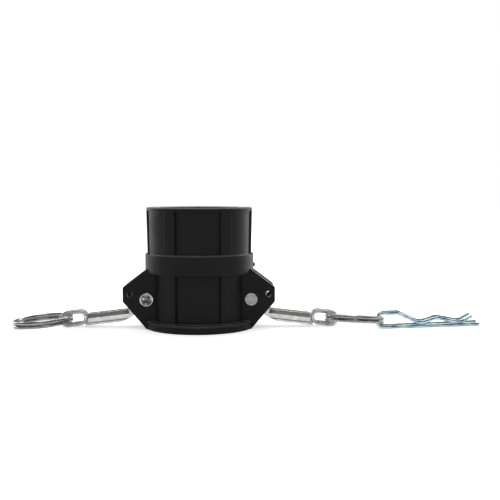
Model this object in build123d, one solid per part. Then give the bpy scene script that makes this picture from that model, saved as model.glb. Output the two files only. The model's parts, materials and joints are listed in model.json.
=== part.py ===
from build123d import *
from math import asin, atan2, cos, degrees, hypot, radians, sin, sqrt
import os

os.makedirs("parts", exist_ok=True)

# A type D cam and groove coupler: socket mouth down, threaded port up, both levers
# open. Lengths are in millimetres and angles in degrees. The origin is the centre of
# the socket mouth, +Z runs up the bore and the levers open along +X and -X.

# the moulded body, from the mouth up
flange_radius = 35.1
flange_height = 5.0
rib_radius = 30.4
collar_radius = 34.4
collar_bottom = 34.7
collar_top = 47.2
neck_radius = 32.95
rim_radius = 33.4
rim_height = 2.0
rim_chamfer = 0.7
flange_round = 0.9
collar_round = 0.6
mouth_chamfer = 0.8

# the sunk panels between the ribs, and the parting rib down each side
panel_half_width = 13.9
panel_depth = 1.4
side_panel_half_angle = 20.5
side_panel_depth = 1.3
parting_rib_half_width = 3.5
bar_edge = 20.4
bar_step = 0.35
gate_radius = 1.3
gate_reach = 0.9
gate_height = 39.6

# the water way
socket_radius = 26.95
groove_bottom = 38.0
groove_clearance = 0.15
throat_radius = 20.4
shoulder_height = 7.6
thread_radius = 23.95
thread_length = 24.0
thread_chamfer = 1.2
thread_lead_in = 3.0
thread_lead_radius = 24.25

# the gasket
gasket_outer_radius = 27.75
gasket_inner_radius = 20.65
gasket_thickness = 6.35
gasket_round = 0.5

# the ears and what goes through them
ear_outer = 12.8
ear_thickness = 4.8
ear_tip = 47.5
ear_tip_top = 26.4
ear_tip_bottom = 17.4
ear_top_at_collar = 36.3
ear_foot_radius = 35.8
ear_foot_height = 3.7
ear_corner_round = 1.0
ear_root = 24.0
clip_hole_radius = 1.9
clip_hole_reach = 43.5
clip_hole_height = 22.0
window_half_height = 11.0

# the lever pins
pin_reach = 32.6
pin_height = 18.8
pin_radius = 4.0
pin_seat_clearance = 0.03
pin_running_clearance = 0.06
pin_head_radius = 4.15
pin_head_thickness = 0.6
pin_head_round = 0.25
rim_roll_radius = 0.65
cup_radius = 2.9
cup_depth = 3.2

# the levers, in their own axes: u runs outward along the lever and v runs up
lever_side_gap = 0.4
hub_radius = 5.3
cam_reach = 9.95
cam_radius = 7.5
shank_top = -6.0
shank_bottom = -12.9
shank_start = 12.5
shank_half_width = 6.4
shank_chamfer = 2.3
neck_angle = 12.0
lip_thickness = 1.3
lip_overhang = 0.35
lip_start = 18.0
underside_angle = 60.0
underside_reach = 8.8
underside_drop = -9.0
heel_reach = 13.1
heel_drop = -11.3
hub_cut_reach = 10.0
eye_tip = 57.6
eye_height = 9.9
eye_length = 18.0
eye_band = 2.3
eye_half_width = 3.6
eye_edge_round = 1.0
eye_step_gap = 0.8
bridge_relief = 1.2

# the split rings
ring_outer_radius = 18.9
ring_wire = 2.2
ring_coil_gap = 0.06
ring_ramp_angle = 25.0
ring_seat = 50.6
ring_left_phase = -122.0
ring_right_phase = 120.0
ring_right_tilt = 0.0
ring_right_roll = 8.0
ring_right_yaw = 20.0

# the wavy wire clips
clip_wire = 2.0
clip_length = 69.8
clip_loop_height = 10.6
clip_shoulder_reach = 14.5
clip_trough_reach = 29.8
clip_trough_rise = 1.65
clip_crest_reach = 41.1
clip_crest_rise = 4.9
clip_second_reach = 56.8
clip_second_rise = 1.5
clip_end_reach = 64.8
clip_end_rise = 5.2
clip_bend_radius = 9.0
clip_near_side = -14.0
clip_near_slack = 0.9
clip_near_turn = 9.0
clip_far_side = -7.0
clip_far_slack = 0.6
clip_far_turn = 12.0

# what rests on the table stays this far above it
table_gap = 0.01

# the water way's cutter runs this far past both faces
cut_past = 1.0

# worked out from the sizes above
ear_inner = ear_outer - ear_thickness
lever_half_width = ear_inner - lever_side_gap
ring_mean_radius = ring_outer_radius - ring_wire / 2
coil_pitch = ring_wire + ring_coil_gap
eye_middle = shank_bottom + eye_height / 2
eye_round_u = eye_tip - eye_height / 2
eye_root_u = eye_tip - eye_length + eye_height / 2
lever_drop = pin_height - eye_height / 2 - table_gap
lever_slope = degrees(
    asin(lever_drop / hypot(eye_round_u, eye_middle)) + atan2(eye_middle, eye_round_u)
)
slope_sin = sin(radians(lever_slope))
slope_cos = cos(radians(lever_slope))
seat_x = pin_reach + ring_seat * slope_cos + eye_middle * slope_sin
seat_z = pin_height - ring_seat * slope_sin + eye_middle * slope_cos
ring_left_tilt = degrees(
    asin((seat_z - ring_wire / 2 - table_gap) / hypot(2 * ring_mean_radius, coil_pitch / 2))
    - atan2(coil_pitch / 2, 2 * ring_mean_radius)
)
ring_right_x = seat_x + ring_mean_radius * cos(radians(ring_right_yaw))
ring_right_y = -ring_mean_radius * sin(radians(ring_right_yaw))
groove_radius = gasket_outer_radius + groove_clearance
groove_top = groove_bottom + gasket_thickness + groove_clearance
overall_height = groove_top + shoulder_height + thread_length
rim_bottom = overall_height - rim_height
big = 4 * overall_height


def sunk_band(low_radius, high_radius, low, high, depth):
    """All that lies outside a turned surface sunk by depth, between two heights."""
    with BuildSketch(Plane.XZ) as profile:
        with BuildLine():
            Polyline(
                (low_radius - depth, low),
                (big, low),
                (big, high),
                (high_radius - depth, high),
                close=True,
            )
        make_face()
    return revolve(profile.sketch, Axis.Z)


def wedge(middle, half_angle, low, high):
    """A slice of pie about the axis, to limit a cut to one panel."""
    reach = big / cos(radians(half_angle))
    points = [(0, 0)]
    for angle in (middle - half_angle, middle + half_angle):
        points.append((reach * cos(radians(angle)), reach * sin(radians(angle))))
    return Pos(0, 0, low) * extrude(make_face(Polyline(*points, close=True)), high - low)


def outer_form():
    """The turned outside of the moulding: flange, ribs, collar, neck and rim."""
    with BuildSketch(Plane.XZ) as profile:
        with BuildLine():
            Polyline(
                (0, 0),
                (flange_radius - mouth_chamfer, 0),
                (flange_radius, mouth_chamfer),
                (flange_radius, flange_height - flange_round),
                (flange_radius - flange_round, flange_height),
                (rib_radius, flange_height),
                (rib_radius, collar_bottom),
                (collar_radius - collar_round, collar_bottom),
                (collar_radius, collar_bottom + collar_round),
                (collar_radius, collar_top - collar_round),
                (collar_radius - collar_round, collar_top),
                (neck_radius, collar_top),
                (rim_radius, rim_bottom),
                (rim_radius, overall_height - rim_chamfer),
                (rim_radius - rim_chamfer, overall_height),
                (0, overall_height),
                close=True,
            )
        make_face()
    return revolve(profile.sketch, Axis.Z)


def sunk_panels():
    """What is taken out between the ribs, above and below the collar."""
    cuts = []
    panel_limits = Box(2 * panel_half_width, big, 4 * big)
    upper = sunk_band(neck_radius, rim_radius, collar_top, rim_bottom, panel_depth)
    lower = sunk_band(rib_radius, rib_radius, flange_height, collar_bottom, panel_depth)
    cuts.append(upper & panel_limits)
    cuts.append(lower & panel_limits)
    sides = sunk_band(neck_radius, rim_radius, collar_top, rim_bottom, side_panel_depth)
    parting_ribs = Box(4 * big, 2 * parting_rib_half_width, 4 * big)
    sides -= parting_ribs
    for middle in (0, 180):
        cuts.append(sides & wedge(middle, side_panel_half_angle, collar_top, rim_bottom))
    inside_bars = Box(2 * bar_edge, big, 4 * big)
    upper_step = sunk_band(neck_radius, rim_radius, collar_top, rim_bottom, bar_step)
    lower_step = sunk_band(rib_radius, rib_radius, flange_height, collar_bottom, bar_step)
    cuts.append(upper_step - inside_bars - parting_ribs)
    cuts.append(lower_step - inside_bars)
    return cuts


def ear_outline():
    """One ear seen along Y, on the +X side."""
    top_slope = (ear_top_at_collar - ear_tip_top) / (ear_tip - collar_radius)
    foot_slope = (ear_tip_bottom - ear_foot_height) / (ear_tip - ear_foot_radius)
    foot_x = ear_foot_radius - ear_foot_height / foot_slope
    root_top = ear_tip_top + (ear_tip - ear_root) * top_slope
    with BuildSketch(Plane.XZ) as outline:
        with BuildLine():
            Polyline(
                (ear_root, 0),
                (foot_x, 0),
                (ear_tip, ear_tip_bottom),
                (ear_tip, ear_tip_top),
                (ear_root, root_top),
                close=True,
            )
        make_face()
        tips = outline.vertices().filter_by_position(Axis.X, ear_tip - 0.01, ear_tip + 0.01)
        fillet(tips, ear_corner_round)
    return outline.sketch


def ears():
    """The four ears that carry the lever pins."""
    shapes = []
    for side in (0, 180):
        for near in (-ear_inner, ear_outer):
            plate = extrude(ear_outline(), ear_thickness)
            shapes.append(Rot(0, 0, side) * Pos(0, near, 0) * plate)
    return shapes


def water_way():
    """Everything bored along the axis: socket, gasket groove, throat and port."""
    port_bottom = overall_height - thread_length
    with BuildSketch(Plane.XZ) as profile:
        with BuildLine():
            Polyline(
                (0, -cut_past),
                (socket_radius, -cut_past),
                (socket_radius, groove_bottom),
                (groove_radius, groove_bottom),
                (groove_radius, groove_top),
                (throat_radius, groove_top),
                (throat_radius, port_bottom - (thread_radius - throat_radius)),
                (thread_radius, port_bottom),
                (thread_radius, overall_height - thread_chamfer - thread_lead_in),
                (thread_lead_radius, overall_height - thread_chamfer - thread_lead_in),
                (thread_lead_radius, overall_height - thread_chamfer),
                (thread_lead_radius + thread_chamfer + cut_past, overall_height + cut_past),
                (0, overall_height + cut_past),
                close=True,
            )
        make_face()
    return revolve(profile.sketch, Axis.Z)


def coupler_body():
    """The one-piece moulding."""
    shape = outer_form()
    for cut in sunk_panels():
        shape -= cut
    for ear in ears():
        shape += ear
    gate = Cylinder(gate_radius, gate_reach + bar_step, align=(Align.CENTER, Align.CENTER, Align.MIN))
    shape += Pos(collar_radius - bar_step, 0, gate_height) * Rot(0, 90, 0) * gate
    shape -= water_way()
    for side in (0, 180):
        window = Box(
            ear_tip,
            2 * ear_inner,
            2 * window_half_height,
            align=(Align.MIN, Align.CENTER, Align.CENTER),
        )
        shape -= Rot(0, 0, side) * Pos(throat_radius, 0, pin_height) * window
        across = Rot(90, 0, 0) * Cylinder(pin_radius + pin_seat_clearance, big)
        shape -= Rot(0, 0, side) * Pos(pin_reach, 0, pin_height) * across
        small = Rot(90, 0, 0) * Cylinder(clip_hole_radius, big)
        shape -= Rot(0, 0, side) * Pos(clip_hole_reach, 0, clip_hole_height) * small
    return shape


def gasket():
    """The flat face seal in its groove."""
    with BuildSketch(Plane.XZ) as section:
        with Locations(((gasket_inner_radius + gasket_outer_radius) / 2, 0)):
            Rectangle(gasket_outer_radius - gasket_inner_radius, gasket_thickness)
        fillet(section.vertices(), gasket_round)
    seal = revolve(section.sketch, Axis.Z)
    return Pos(0, 0, groove_bottom + gasket_thickness / 2) * seal


def cam_pin():
    """One pin along Y: flat head at +Y, rolled and cupped end at -Y."""
    face = ear_outer
    with BuildSketch(Plane.XY) as profile:
        with BuildLine():
            Polyline(
                (0, face + pin_head_thickness),
                (pin_head_radius - pin_head_round, face + pin_head_thickness),
                (pin_head_radius, face + pin_head_thickness - pin_head_round),
                (pin_head_radius, face + pin_seat_clearance),
                (pin_radius, face + pin_seat_clearance),
                (pin_radius, -face),
                (cup_radius, -face),
                (cup_radius, -face + cup_depth - cup_radius / 2),
                (0, -face + cup_depth),
                close=True,
            )
        make_face()
        roll_middle = (cup_radius + pin_radius + rim_roll_radius) / 2
        with Locations((roll_middle, -face - pin_seat_clearance - rim_roll_radius)):
            Circle(rim_roll_radius)
        with Locations(((cup_radius + pin_radius) / 2, -face - rim_roll_radius / 2)):
            Rectangle(pin_radius - cup_radius, rim_roll_radius)
    return revolve(profile.sketch, Axis.Y)


def lever_side():
    """The lever seen from the side without its eye: hub, cam, neck and shank."""
    cam_middle_u = cam_radius - hub_radius
    cam_middle_v = cam_reach - cam_radius
    under = radians(underside_angle)
    neck = radians(neck_angle)
    neck_u = cam_middle_u + cam_radius * cos(neck)
    neck_v = cam_middle_v - cam_radius * sin(neck)
    with BuildSketch(Plane.XZ) as side:
        Circle(hub_radius)
        with Locations((cam_middle_u, cam_middle_v)):
            Circle(cam_radius)
        with BuildLine():
            Polyline(
                (-hub_radius * cos(under), -hub_radius * sin(under)),
                (underside_reach, underside_drop),
                (heel_reach, heel_drop),
                (lip_start, shank_bottom),
                (eye_root_u, shank_bottom),
                (eye_root_u, shank_top),
                (shank_start, shank_top),
                (neck_u, neck_v),
                (0, 0),
                close=True,
            )
        make_face()
    return side.sketch


def shank_section(start, end):
    """The lever's cross section run along u: chamfered top, lip along the bottom."""
    half = shank_half_width - lip_overhang
    with BuildSketch(Plane.YZ) as section:
        with BuildLine():
            Polyline(
                (-shank_half_width, shank_bottom),
                (shank_half_width, shank_bottom),
                (shank_half_width, shank_bottom + lip_thickness),
                (half, shank_bottom + lip_thickness + lip_overhang),
                (half, shank_top - shank_chamfer),
                (half - shank_chamfer, shank_top),
                (-half + shank_chamfer, shank_top),
                (-half, shank_top - shank_chamfer),
                (-half, shank_bottom + lip_thickness + lip_overhang),
                (-shank_half_width, shank_bottom + lip_thickness),
                close=True,
            )
        make_face()
    return Pos(start, 0, 0) * extrude(section.sketch, end - start)


def lever_eye():
    """The flat eye at the lever's tip, with rounded edges."""
    middle = eye_tip - eye_length / 2
    with BuildSketch(Plane.XZ) as outline:
        with Locations((middle, eye_middle)):
            SlotOverall(eye_length, eye_height)
            SlotOverall(eye_length - 2 * eye_band, eye_height - 2 * eye_band, mode=Mode.SUBTRACT)
    plate = Pos(0, eye_half_width, 0) * extrude(outline.sketch, 2 * eye_half_width)
    rims = plate.faces().filter_by(Axis.Y).edges()
    return fillet(rims, eye_edge_round)


def cam_lever():
    """One lever in its own axes, pin axis at the origin."""
    side = Pos(0, lever_half_width, 0) * extrude(lever_side(), 2 * lever_half_width)
    hub_zone = Box(
        shank_start + hub_cut_reach,
        2 * lever_half_width,
        big,
        align=(Align.MAX, Align.CENTER, Align.CENTER),
    )
    hub = side & (Pos(shank_start, 0, 0) * hub_zone)
    shank = side & shank_section(shank_start, eye_root_u)
    keep = Rot(90, 0, 0) * Cylinder(eye_height / 2 + eye_step_gap, 4 * lever_half_width)
    shank -= Pos(eye_root_u, 0, eye_middle) * keep
    lever = hub + shank + lever_eye()
    bridge_length = eye_step_gap + eye_band
    bridge_u = eye_tip - eye_length + (eye_band - eye_step_gap) / 2
    bridge = Box(
        bridge_length,
        2 * (eye_half_width - eye_edge_round),
        shank_top - shank_bottom - bridge_relief,
    )
    lever += Pos(bridge_u, 0, (shank_top + shank_bottom) / 2) * bridge
    lever -= Rot(90, 0, 0) * Cylinder(pin_radius + pin_running_clearance, big)
    return lever


def place_lever(shape, side):
    """Slope a lever to its open pose and set it on its pin, side 1 right or -1 left."""
    placed = Pos(pin_reach, 0, pin_height) * Rot(0, lever_slope, 0) * shape
    return Rot(0, 0, 0 if side > 0 else 180) * placed


def split_ring(phase):
    """Two coils of round wire joined by one ramp, lying flat about the origin."""
    low = -coil_pitch / 2
    wire = Pos(ring_mean_radius, 0, 0) * Rot(90, 0, 0) * Circle(ring_wire / 2)
    coil = Rot(0, 0, ring_ramp_angle) * revolve(wire, Axis.Z, 360 - ring_ramp_angle)
    climb = Helix(coil_pitch * 360 / ring_ramp_angle, coil_pitch, ring_mean_radius)
    ramp = sweep(Plane(origin=climb @ 0, z_dir=climb % 0) * Circle(ring_wire / 2), path=climb)
    shape = Pos(0, 0, low) * coil + Pos(0, 0, -low) * coil + Pos(0, 0, low) * ramp
    for angle, height in ((0, low), (ring_ramp_angle, -low)):
        joint = Rot(0, 0, angle) * Pos(ring_mean_radius, 0, height) * Sphere(ring_wire / 2)
        shape += joint
    return Rot(0, 0, phase) * mirror(shape, about=Plane.XZ)


def place_ring(shape, side, tilt, roll, yaw):
    """Hang a ring in its lever's eye: outer end down by tilt, near side up by roll."""
    hung = Rot(0, 0, -yaw) * Rot(0, tilt, 0) * Rot(-roll, 0, 0)
    hung = hung * Pos(ring_mean_radius, 0, 0) * shape
    return Rot(0, 0, 0 if side > 0 else 180) * Pos(seat_x, 0, seat_z) * hung


def safety_clip():
    """One wavy clip in the XZ plane, its loop's centre at the origin."""
    loop = (clip_loop_height - clip_wire) / 2
    start = -loop - clip_wire / 2

    def point(reach, rise):
        return (start + reach, -loop + rise)

    with BuildLine(Plane.XZ) as path:
        Line((start + clip_length, -loop), (0, -loop))
        CenterArc((0, 0), loop, 270, -180)
        FilletPolyline(
            (0, loop),
            (start + clip_shoulder_reach, loop),
            point(clip_trough_reach, clip_trough_rise),
            point(clip_crest_reach, clip_crest_rise),
            point(clip_second_reach, clip_second_rise),
            point(clip_end_reach, clip_end_rise),
            radius=clip_bend_radius,
        )
    wire = path.wire()
    return sweep(Plane(origin=wire @ 0, z_dir=wire % 0) * Circle(clip_wire / 2), path=wire)


def place_clip(shape, side_place, turn, slack):
    """Stand a clip on its straight leg with its loop round the right ring."""
    along = ring_right_x + sqrt(ring_mean_radius**2 - (side_place - ring_right_y) ** 2)
    height = clip_loop_height / 2 + table_gap
    return Pos(along + slack, side_place, height) * Rot(0, 0, turn) * shape


lever = cam_lever()
pin = cam_pin()
clip = safety_clip()
pieces = {
    "coupler_body": coupler_body(),
    "gasket": gasket(),
    "cam_pin_left": Pos(-pin_reach, 0, pin_height) * pin,
    "cam_pin_right": Pos(pin_reach, 0, pin_height) * Rot(0, 0, 180) * pin,
    "cam_lever_left": place_lever(lever, -1),
    "cam_lever_right": place_lever(lever, 1),
    "split_ring_left": place_ring(split_ring(ring_left_phase), -1, ring_left_tilt, 0, 0),
    "split_ring_right": place_ring(
        split_ring(ring_right_phase), 1, ring_right_tilt, ring_right_roll, ring_right_yaw
    ),
    "safety_clip_near": place_clip(clip, clip_near_side, clip_near_turn, clip_near_slack),
    "safety_clip_far": place_clip(clip, clip_far_side, clip_far_turn, clip_far_slack),
}
for name, shape in pieces.items():
    export_step(shape, f"parts/{name}.step")
print("ring seats", round(seat_x, 3), round(seat_z, 3), "slope", round(lever_slope, 3))
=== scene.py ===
import bpy
import bmesh
import json
from math import pi, radians
from mathutils import Matrix, Vector


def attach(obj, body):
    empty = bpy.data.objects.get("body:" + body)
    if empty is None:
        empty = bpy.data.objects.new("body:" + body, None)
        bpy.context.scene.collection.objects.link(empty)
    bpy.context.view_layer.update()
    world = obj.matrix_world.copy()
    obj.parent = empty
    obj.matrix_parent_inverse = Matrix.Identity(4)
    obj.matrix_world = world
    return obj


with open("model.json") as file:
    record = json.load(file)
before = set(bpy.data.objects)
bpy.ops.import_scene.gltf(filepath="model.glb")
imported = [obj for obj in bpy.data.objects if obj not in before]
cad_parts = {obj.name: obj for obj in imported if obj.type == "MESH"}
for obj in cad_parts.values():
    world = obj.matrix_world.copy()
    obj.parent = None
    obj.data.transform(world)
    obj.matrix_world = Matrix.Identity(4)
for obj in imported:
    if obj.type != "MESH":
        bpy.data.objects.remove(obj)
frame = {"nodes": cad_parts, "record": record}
mounts = {mount["name"]: mount for mount in frame["record"]["mounts"]}
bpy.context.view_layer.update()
print("frame loaded,", len(frame["nodes"]), "nodes")

mm = 0.001
white = (1, 1, 1, 1)

# for each kind of Mix node, the first of its two entries and its output
mixSockets = {"FLOAT": (2, 0), "VECTOR": (4, 1), "RGBA": (6, 2)}


class Link:
    # one output socket, so that a shader's sums read as plain sums
    def __init__(self, maker, socket):
        self.maker = maker
        self.socket = socket

    def __add__(self, other):
        return self.maker.math("ADD", self, other)

    def __rsub__(self, other):
        return self.maker.math("SUBTRACT", other, self)

    def __mul__(self, other):
        return self.maker.math("MULTIPLY", self, other)

    def __abs__(self):
        return self.maker.math("ABSOLUTE", self, 0.0)


class NodeMaker:
    # makes the nodes of one tree, which is a material's or the world's
    def __init__(self, owner, coordinates):
        owner.use_nodes = True
        self.tree = owner.node_tree
        self.tree.nodes.clear()
        self.place = self.node("ShaderNodeTexCoord", output=coordinates)

    def node(self, kind, settings={}, inputs={}, output=0):
        made = self.tree.nodes.new(kind)
        for key, value in settings.items():
            setattr(made, key, value)
        for key, value in inputs.items():
            if isinstance(value, Link):
                self.tree.links.new(value.socket, made.inputs[key])
            else:
                made.inputs[key].default_value = value
        return Link(self, made.outputs[output])

    def math(self, operation, first, second):
        return self.node("ShaderNodeMath", {"operation": operation}, {0: first, 1: second})

    def mix(self, kind, mask, first, second):
        # the first where the mask is none, the second where it is one
        entry, output = mixSockets[kind]
        inputs = {0: mask, entry: first, entry + 1: second}
        return self.node("ShaderNodeMix", {"data_type": kind}, inputs, output)

    def ramp(self, value, low, high, bottom=0.0, top=1.0):
        ends = {"From Min": low, "From Max": high, "To Min": bottom, "To Max": top}
        return self.node("ShaderNodeMapRange", {"clamp": True}, {"Value": value, **ends})

    def split(self, axis, vector=None):
        return self.node("ShaderNodeSeparateXYZ", {}, {0: vector or self.place}, axis)

    def rayIs(self, kind):
        return self.node("ShaderNodeLightPath", output="Is " + kind + " Ray")

    def finished(self, shader, outputKind):
        output = self.tree.nodes.new(outputKind)
        self.tree.links.new(shader.socket, output.inputs["Surface"])


class Finish(NodeMaker):
    # one material
    def __init__(self, name):
        self.material = bpy.data.materials.new(name)
        super().__init__(self.material, "Object")

    def scaled(self, sizes):
        return self.node("ShaderNodeMapping", {}, {0: self.place, "Scale": sizes})

    def fromAxis(self):
        # how far a point lies from the bore's axis
        settings = {"operation": "LENGTH"}
        return self.node("ShaderNodeVectorMath", settings, {0: self.scaled((1, 1, 0))}, "Value")

    def noise(self, scale, detail=3, roughness=0.5, place=None):
        inputs = {"Scale": scale, "Detail": detail, "Roughness": roughness}
        return self.node("ShaderNodeTexNoise", {}, {"Vector": place or self.place, **inputs})

    def bump(self, height, depth, normal=None):
        inputs = {"Height": height, "Distance": depth, "Strength": 1.0}
        if normal:
            inputs["Normal"] = normal
        return self.node("ShaderNodeBump", {}, inputs)

    def softEdge(self, radius, samples=6):
        return self.node("ShaderNodeBevel", {"samples": samples}, {"Radius": radius})

    def flatNormal(self):
        return self.node("ShaderNodeNewGeometry", output="True Normal")

    def upward(self, normal, ends):
        return self.ramp(self.split("Z", normal), *ends)

    def paintedHighlightEdge(self, rounded, ends, facing):
        # a painted highlight mask: one along the upper edges, found by how far the rounded normal
        # leans from the flat one, and only where the rounded normal faces up
        normals = {0: rounded, 1: self.flatNormal()}
        same = self.node("ShaderNodeVectorMath", {"operation": "DOT_PRODUCT"}, normals, "Value")
        return self.ramp(1 - same, *ends) * self.upward(rounded, facing)

    def done(self, **inputs):
        named = {key.replace("_", " "): value for key, value in inputs.items()}
        self.finished(self.node("ShaderNodeBsdfPrincipled", {}, named), "ShaderNodeOutputMaterial")
        return self.material


def grey(value, warmth=0.0):
    return (value * (1 + warmth), value, value * (1 - warmth), 1)


def addToScene(thing):
    bpy.context.scene.collection.objects.link(thing)


# the photograph's view: its lens, where the camera stands in metres, its angles in degrees
photoView = {
    "sensor": 36,
    "focalPixels": 805,
    "imagePixels": 500,
    "distance": 0.512,
    "height": 0.0845,
    "aside": 0.0322,
    "downward": 3.99,
    "turn": 1.6,
}


def makeCamera():
    view = photoView
    camera = bpy.data.objects.new("photoCamera", bpy.data.cameras.new("photoCamera"))
    camera.data.sensor_width = view["sensor"]
    camera.data.lens = view["sensor"] * view["focalPixels"] / view["imagePixels"]
    turn = Matrix.Rotation(-radians(view["turn"]), 4, "Z")
    stand = Matrix.Translation((view["aside"], -view["distance"], view["height"]))
    tilt = Matrix.Rotation(radians(90 - view["downward"]), 4, "X")
    camera.matrix_world = turn @ stand @ tilt
    addToScene(camera)
    bpy.context.scene.camera = camera


# soft boxes: where each stands, its size in metres and its power in watts
softBoxes = {
    "leftBox": {"at": (-0.9, 0.80, 0.45), "size": (0.4, 0.9), "power": 4},
    "rightBox": {"at": (0.9, 0.80, 0.45), "size": (0.4, 0.9), "power": 6},
    "frontBox": {"at": (0.0, -0.65, 1.4), "size": (0.5, 0.35), "power": 2},
    "topBox": {"at": (0.1, 1.1, 1.3), "size": (1.4, 0.5), "power": 12},
}
lampAim = (0, 0, 0.035)


def makeLights():
    for name, box in softBoxes.items():
        lamp = bpy.data.lights.new(name, "AREA")
        lamp.shape = "RECTANGLE"
        lamp.size, lamp.size_y = box["size"]
        lamp.energy = box["power"]
        holder = bpy.data.objects.new(name, lamp)
        holder.location = box["at"]
        toAim = Vector(lampAim) - holder.location
        holder.rotation_euler = toAim.to_track_quat("-Z", "Y").to_euler()
        addToScene(holder)


# the room: the camera sees plain white; metal sees a dim front wall, a thin bright
# line along the back horizon and a dark ceiling
roomLook = {
    "ambient": 0.75,
    "ceiling": 0.09,
    "horizon": 1.0,
    "horizonEnds": (0.04, 0.10),
    "frontWall": 0.20,
    "frontEnds": (0.05, 0.35),
    "frontFades": (-0.6, 0.0),
}


def makeRoom():
    look = roomLook
    world = bpy.data.worlds.new("room")
    bpy.context.scene.world = world
    room = NodeMaker(world, "Generated")
    height = room.split("Z")
    inFront = room.ramp(room.split("Y"), *look["frontFades"], 1.0, 0.0)
    front = inFront * room.ramp(height, *look["frontEnds"], look["frontWall"], 0.0)
    horizon = room.ramp(height, *look["horizonEnds"], look["horizon"], 0.0)
    mirrored = room.math("MAXIMUM", front, horizon) + look["ceiling"]
    lit = room.mix("FLOAT", room.rayIs("Glossy"), look["ambient"], mirrored)
    seen = room.mix("FLOAT", room.rayIs("Camera"), lit, 1.0)
    shade = room.node("ShaderNodeBackground", {}, {"Color": white, "Strength": seen})
    room.finished(shade, "ShaderNodeOutputWorld")


# the white table glows for the camera just enough to be white where no shadow falls
table = {"reach": 3.0, "white": 0.82, "seenGlow": 0.5, "mirroredGlow": 0.15, "roughness": 0.7}


def makeTable():
    mesh = bpy.data.meshes.new("table")
    top = bmesh.new()
    bmesh.ops.create_grid(top, x_segments=1, y_segments=1, size=table["reach"])
    top.to_mesh(mesh)
    top.free()
    floor = bpy.data.objects.new("table", mesh)
    addToScene(floor)
    finish = Finish("tableWhite")
    seen = finish.rayIs("Camera") * table["seenGlow"]
    mirrored = finish.rayIs("Glossy") * table["mirroredGlow"]
    mesh.materials.append(finish.done(
        Base_Color=grey(table["white"]),
        Roughness=table["roughness"],
        Emission_Color=seen + mirrored,
        Emission_Strength=1.0,
    ))


# In each look, a grey is its tone and its warmth, and a noise its scale and detail.

# black glass-filled moulding: faint cloudiness, fine grain, soft moulded edges, and a painted
# highlight that lightens its outer upward-facing edges, stronger near the rim
mouldingLook = {
    "dark": (0.0060, 0.01),
    "pale": (0.0090, 0.01),
    "cloud": {"scale": 60, "detail": 5, "roughness": 0.62},
    "paleEnds": (0.35, 0.7),
    "roughEnds": (0.3, 0.75),
    "smooth": 0.36,
    "rough": 0.50,
    "shine": 0.14,
    "grain": {"scale": 1500, "detail": 2},
    "grainDepth": 0.00004,
    "wave": {"scale": 90, "detail": 2},
    "waveDepth": 0.00022,
    "edge": 0.0009,
    # the painted highlight: its grey, how far the edge rounding reaches, how much lean counts, how
    # far up it must face, how far out from the bore it starts, and its share below the rim
    "paintedHighlight": (0.20, 0.02),
    "paintedHighlightReach": 0.0013,
    "paintedHighlightEnds": (0.002, 0.02),
    "paintedHighlightFacing": (0.38, 0.62),
    "paintedHighlightFrom": (0.0265, 0.0280),
    "paintedHighlightLow": 0.55,
    "rimStarts": (0.068, 0.074),
    "polished": 0.16,
    "level": (0.70, 0.78),
}


def mouldingFinish():
    look = mouldingLook
    finish = Finish("blackMoulding")
    cloud = finish.noise(**look["cloud"])
    patch = finish.ramp(cloud, *look["paleEnds"])
    plain = finish.mix("RGBA", patch, grey(*look["dark"]), grey(*look["pale"]))
    # the painted highlight's mask: outer faces only, full near the rim, along upward-facing edges
    outward = finish.ramp(finish.fromAxis(), *look["paintedHighlightFrom"])
    high = finish.ramp(finish.split("Z"), *look["rimStarts"], look["paintedHighlightLow"], 1.0)
    rounded = finish.softEdge(look["paintedHighlightReach"])
    paintedHighlight = finish.paintedHighlightEdge(rounded, look["paintedHighlightEnds"], look["paintedHighlightFacing"]) * outward * high
    rough = finish.ramp(cloud, *look["roughEnds"], look["smooth"], look["rough"])
    level = finish.upward(finish.flatNormal(), look["level"])
    edged = finish.softEdge(look["edge"])
    waved = finish.bump(finish.noise(**look["wave"]), look["waveDepth"], edged)
    return finish.done(
        # the base colour takes the painted highlight's grey along its mask
        Base_Color=finish.mix("RGBA", paintedHighlight, plain, grey(*look["paintedHighlight"])),
        Roughness=rough + level * (look["polished"] - rough),
        Specular_IOR_Level=look["shine"],
        Normal=finish.bump(finish.noise(**look["grain"]), look["grainDepth"], waved),
    )


# cast stainless, tumbled bright: shallow pits, a slow ripple and a rounder eye
leverLook = {
    "dull": (0.60, 0.04),
    "bright": (0.76, 0.025),
    "spots": {"scale": 320, "detail": 5, "roughness": 0.6},
    "brightEnds": (0.42, 0.62),
    "roughEnds": (0.3, 0.7),
    "rough": 0.32,
    "smooth": 0.24,
    "ripple": {"scale": 140, "detail": 3},
    "rippleDepth": 0.00002,
    "pits": {"scale": 1400, "detail": 2},
    "pitDepth": 0.000005,
    "edge": 0.0007,
    "eyeEdge": 0.0036,
    "eyeStarts": (0.0715, 0.0735),
}


def leverFinish():
    look = leverLook
    finish = Finish("castStainless")
    spots = finish.noise(**look["spots"])
    mask = finish.ramp(spots, *look["brightEnds"])
    eye = finish.ramp(abs(finish.split("X")), *look["eyeStarts"])
    shankEdge, eyeEdge = finish.softEdge(look["edge"]), finish.softEdge(look["eyeEdge"])
    edged = finish.mix("VECTOR", eye, shankEdge, eyeEdge)
    rippled = finish.bump(finish.noise(**look["ripple"]), look["rippleDepth"], edged)
    return finish.done(
        Base_Color=finish.mix("RGBA", mask, grey(*look["dull"]), grey(*look["bright"])),
        Metallic=1.0,
        Roughness=finish.ramp(spots, *look["roughEnds"], look["rough"], look["smooth"]),
        Normal=finish.bump(finish.noise(**look["pits"]), look["pitDepth"], rippled),
    )


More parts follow.
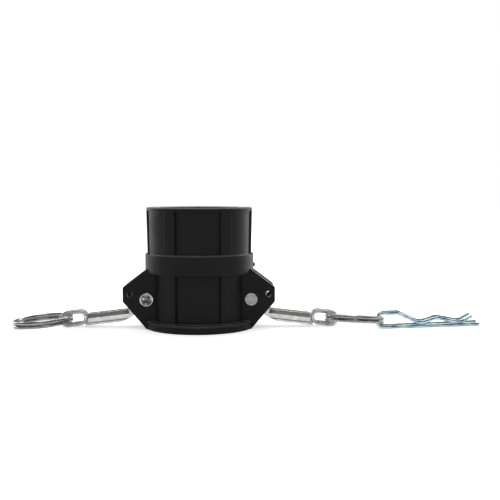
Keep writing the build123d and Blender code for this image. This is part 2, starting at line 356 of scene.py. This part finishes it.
# drawn steel wire of the split rings, dull and a little stained
ringLook = {
    "dull": (0.28, 0.04),
    "bright": (0.46, 0.03),
    "stain": {"scale": 300, "detail": 4, "roughness": 0.6},
    "brightEnds": (0.4, 0.65),
    "drawn": {"scale": 900, "detail": 2},
    "drawnSizes": (0.3, 0.3, 2.4),
    "roughEnds": (0.3, 0.7),
    "smooth": 0.22,
    "rough": 0.34,
    "depth": 0.00001,
}


def ringFinish():
    look = ringLook
    finish = Finish("ringSteel")
    mask = finish.ramp(finish.noise(**look["stain"]), *look["brightEnds"])
    drawn = finish.noise(**look["drawn"], place=finish.scaled(look["drawnSizes"]))
    return finish.done(
        Base_Color=finish.mix("RGBA", mask, grey(*look["dull"]), grey(*look["bright"])),
        Metallic=1.0,
        Roughness=finish.ramp(drawn, *look["roughEnds"], look["smooth"], look["rough"]),
        Normal=finish.bump(drawn, look["depth"]),
    )


# zinc plate with its cold blue cast
clipLook = {
    "pale": (0.70, 0.80, 0.83, 1),
    "blue": (0.26, 0.46, 0.56, 1),
    "cast": {"scale": 160, "detail": 3},
    "blueEnds": (0.40, 0.66),
    "fine": {"scale": 800, "detail": 2},
    "roughEnds": (0.3, 0.7),
    "smooth": 0.10,
    "rough": 0.22,
    "depth": 0.000008,
}


def clipFinish():
    look = clipLook
    finish = Finish("zincPlate")
    mask = finish.ramp(finish.noise(**look["cast"]), *look["blueEnds"])
    fine = finish.noise(**look["fine"])
    return finish.done(
        Base_Color=finish.mix("RGBA", mask, look["pale"], look["blue"]),
        Metallic=1.0,
        Roughness=finish.ramp(fine, *look["roughEnds"], look["smooth"], look["rough"]),
        Normal=finish.bump(fine, look["depth"]),
    )


# one steel for both pins, in a lit and a shaded tone: the right pin's darker tone is painted shade
# on its flat end
pinLook = {
    "lighterLeft": {"dull": (0.46, 0.04), "bright": (0.60, 0.03)},
    "shadedRight": {"dull": (0.22, 0.04), "bright": (0.30, 0.03)},
    "mark": {"scale": 700, "detail": 4},
    "brightEnds": (0.4, 0.62),
    "roughEnds": (0.3, 0.7),
    "rough": 0.22,
    "smooth": 0.12,
    "depth": 0.000006,
    "edge": 0.0003,
}


def pinFinish(pinTone):
    look = pinLook
    tones = look[pinTone]
    finish = Finish(pinTone + "Pin")
    mark = finish.noise(**look["mark"])
    mask = finish.ramp(mark, *look["brightEnds"])
    return finish.done(
        Base_Color=finish.mix("RGBA", mask, grey(*tones["dull"]), grey(*tones["bright"])),
        Metallic=1.0,
        Roughness=finish.ramp(mark, *look["roughEnds"], look["rough"], look["smooth"]),
        Normal=finish.bump(mark, look["depth"], finish.softEdge(look["edge"])),
    )


# the seal's rubber, with a grey bloom
sealLook = {
    "dark": (0.010, 0.0),
    "pale": (0.022, 0.0),
    "bloom": {"scale": 240, "detail": 4},
    "paleEnds": (0.4, 0.7),
    "roughEnds": (0.3, 0.7),
    "smooth": 0.55,
    "rough": 0.75,
    "depth": 0.00006,
}


def sealFinish():
    look = sealLook
    finish = Finish("sealRubber")
    bloom = finish.noise(**look["bloom"])
    mask = finish.ramp(bloom, *look["paleEnds"])
    return finish.done(
        Base_Color=finish.mix("RGBA", mask, grey(*look["dark"]), grey(*look["pale"])),
        Roughness=finish.ramp(bloom, *look["roughEnds"], look["smooth"], look["rough"]),
        Normal=finish.bump(bloom, look["depth"]),
    )


def dress(node, material):
    mesh = frame["nodes"][node].data
    mesh.materials.clear()
    mesh.materials.append(material)


# the port's pipe thread, eleven turns to the inch, on the wall below the lead-in
threadShape = {
    "leadStep": 0.3 * mm,
    "pitch": 2.309 * mm,
    "turns": 7.5,
    "depth": 1.3 * mm,
    "crest": 0.4 * mm,
    "root": 0.2 * mm,
    "sunk": 0.05 * mm,
    "stepsPerTurn": 72,
    "joined": 0.01 * mm,
}


def makeThread(material):
    shape = threadShape
    port = mounts["thread_port"]
    wall = port["dims"]["r_mm"] * mm - shape["leadStep"]
    foot, crest = wall + shape["sunk"], wall - shape["depth"]
    halfFoot, halfCrest = (shape["pitch"] - shape["root"]) / 2, shape["crest"] / 2
    top = port["pos_m"][2] - port["dims"]["length_mm"] * mm / 2
    start = top - shape["root"] - halfFoot - shape["pitch"] * shape["turns"]
    ridge = bmesh.new()
    section = ridge.faces.new([
        ridge.verts.new((reach, 0, start + rise))
        for reach, rise in (
            (foot, -halfFoot),
            (crest, -halfCrest),
            (crest, halfCrest),
            (foot, halfFoot),
        )
    ])
    # the copy stays behind and closes the ridge's lower end
    section.copy()
    bmesh.ops.spin(
        ridge,
        geom=[section] + list(section.edges) + list(section.verts),
        axis=(0, 0, 1),
        cent=(0, 0, 0),
        dvec=(0, 0, shape["pitch"] / shape["stepsPerTurn"]),
        angle=2 * pi * shape["turns"],
        steps=int(shape["stepsPerTurn"] * shape["turns"]),
    )
    bmesh.ops.remove_doubles(ridge, verts=ridge.verts, dist=shape["joined"])
    bmesh.ops.recalc_face_normals(ridge, faces=ridge.faces)
    mesh = bpy.data.meshes.new("port_thread")
    ridge.to_mesh(mesh)
    ridge.free()
    mesh.materials.append(material)
    piece = bpy.data.objects.new("port_thread", mesh)
    addToScene(piece)
    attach(piece, "body")


makeCamera()
makeLights()
makeRoom()
makeTable()
print("stage set")

moulding = mouldingFinish()
dress("coupler_body", moulding)
makeThread(moulding)
dress("gasket", sealFinish())
# the same pin steel twice: the right pin's darker tone is painted shade
dress("cam_pin_left", pinFinish("lighterLeft"))
dress("cam_pin_right", pinFinish("shadedRight"))
for node in ("cam_lever_left", "cam_lever_right"):
    dress(node, leverFinish())
for node in ("split_ring_left", "split_ring_right"):
    dress(node, ringFinish())
for node in ("safety_clip_near", "safety_clip_far"):
    dress(node, clipFinish())
print("finishes and thread done")

bpy.context.scene.view_settings.view_transform = "Standard"
